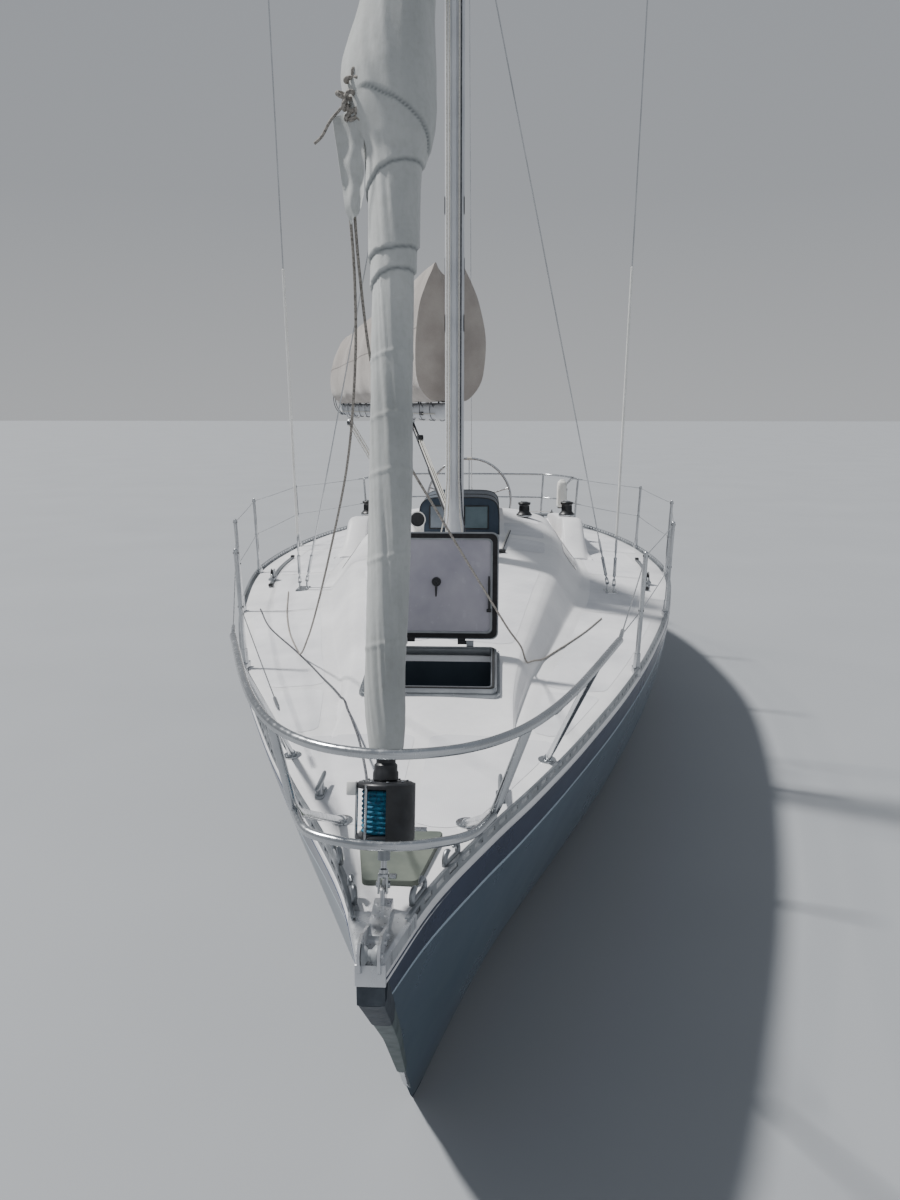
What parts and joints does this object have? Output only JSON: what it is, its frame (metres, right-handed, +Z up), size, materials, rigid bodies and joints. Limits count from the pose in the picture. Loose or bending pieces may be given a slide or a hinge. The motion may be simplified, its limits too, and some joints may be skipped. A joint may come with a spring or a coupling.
{
  "type": "sailing yacht",
  "caption": "Sloop-rigged keel yacht afloat, with furled headsail, covered mainsail on a swinging boom, open fore hatch, wheel steering, fin keel, spade rudder and propeller.",
  "frame": {"origin": "on the centreline amidships, at the waterline", "axes": "+X to the bow, +Y to port, +Z up"},
  "size_m": [10.335, 3.594, 16.46],
  "materials": {
    "topsides": "blue-grey gelcoat topsides, semi-gloss",
    "gelcoat": "white gelcoat, weathered, non-skid panels",
    "antifouling": "matt antifouling paint",
    "aluminium": "anodised, weathered",
    "stainless": "polished, slightly dulled",
    "spar": "clear anodised spar",
    "sailcloth": "off-white woven sailcloth, weathered",
    "cover_cloth": "taupe acrylic canvas",
    "white_fabric": "white coated fabric",
    "smoked_acrylic": "smoked acrylic",
    "black_fittings": "black anodised and moulded",
    "navy_cover": "dark blue canvas over a hood",
    "teak": "oiled teak",
    "bronze": "dull bronze",
    "white_plastic": "white moulded"
  },
  "bodies": {
    "root": {"hull": "topsides", "deck": "gelcoat", "cockpit": "gelcoat", "toe_rail_port": "aluminium", "toe_rail_starboard": "aluminium", "stem_fitting": "stainless", "pulpit": "stainless", "pushpit": "stainless", "bow_cleat_port": "aluminium", "bow_cleat_starboard": "aluminium", "stern_cleat_port": "aluminium", "stern_cleat_starboard": "aluminium", "fore_hatch_frame": "aluminium", "companionway_hood": "navy_cover", "slide_runner_port": "teak", "slide_runner_starboard": "teak", "washboards": "teak", "ventilator": "white_plastic", "mast": "spar", "spreader_lower_port": "spar", "spreader_lower_starboard": "spar", "spreader_upper_port": "spar", "spreader_upper_starboard": "spar", "cap_shroud_port": "stainless", "cap_shroud_starboard": "stainless", "lower_shroud_port": "stainless", "lower_shroud_starboard": "stainless", "chainplates_port": "stainless", "chainplates_starboard": "stainless", "backstay": "stainless", "headsail_roll": "sailcloth", "furling_drum": "black_fittings", "forestay_toggle": "stainless", "forestay_head": "stainless", "genoa_track_port": "aluminium", "genoa_track_starboard": "aluminium", "winch_primary_port": "black_fittings", "winch_primary_starboard": "black_fittings", "winch_roof_port": "black_fittings", "winch_roof_starboard": "black_fittings", "mainsheet_traveller": "aluminium", "steering_pedestal": "white_plastic", "rescue_bag": "white_fabric", "fin_keel": "antifouling", "shaft_strut": "bronze"},
    "rudder": {"rudder": "antifouling"},
    "wheel": {"steering_wheel": "stainless"},
    "hatch_lid": {"fore_hatch_lid": "smoked_acrylic"},
    "anchor_lid": {"anchor_locker_lid": "gelcoat"},
    "companion_slide": {"companionway_slide": "smoked_acrylic"},
    "boom": {"boom": "spar", "boom_vang": "black_fittings", "sail_cover": "cover_cloth"},
    "propeller": {"propeller": "bronze"},
    "locker_lid_port": {"seat_locker_lid_port": "gelcoat"},
    "locker_lid_starboard": {"seat_locker_lid_starboard": "gelcoat"}
  },
  "joints": [
    {"name": "rudder_turn", "type": "hinge", "parent": "root", "child": "rudder", "pos_m": [-3.96, 0, -0.4], "axis": [0, 0, 1], "range_deg": [-35, 35]},
    {"name": "wheel_turn", "type": "hinge", "parent": "root", "child": "wheel", "pos_m": [-3.44, 0, 1.45], "axis": [1, 0, 0], "range_deg": [-285, 285]},
    {"name": "fore_hatch_hinge", "type": "hinge", "parent": "root", "child": "hatch_lid", "pos_m": [2.6321, 0, 1.35433], "axis": [0, 1, 0], "range_deg": [0, 100]},
    {"name": "anchor_lid_hinge", "type": "hinge", "parent": "root", "child": "anchor_lid", "pos_m": [4.422, 0, 1.206], "axis": [0, -1, 0], "range_deg": [0, 100]},
    {"name": "companionway_slide_run", "type": "slide", "parent": "root", "child": "companion_slide", "axis": [1, 0, 0], "range_m": [0, 0.62]},
    {"name": "gooseneck_swing", "type": "hinge", "parent": "root", "child": "boom", "pos_m": [0.38, 0, 2.46], "axis": [0, 0, 1], "range_deg": [-79.5, 40.5]},
    {"name": "propeller_spin", "type": "hinge", "parent": "root", "child": "propeller", "pos_m": [-2.25, 0, -0.44], "axis": [-0.985, 0, -0.1726], "continuous": true},
    {"name": "locker_lid_port_hinge", "type": "hinge", "parent": "root", "child": "locker_lid_port", "pos_m": [-2.65, 0.878, 0.8], "axis": [1, 0, 0], "range_deg": [-90, 0]},
    {"name": "locker_lid_starboard_hinge", "type": "hinge", "parent": "root", "child": "locker_lid_starboard", "pos_m": [-2.65, -0.878, 0.8], "axis": [1, 0, 0], "range_deg": [0, 90]}
  ],
  "couplings": [
    {"joint": "wheel_turn", "follows": "rudder_turn", "ratio": 8}
  ]
}
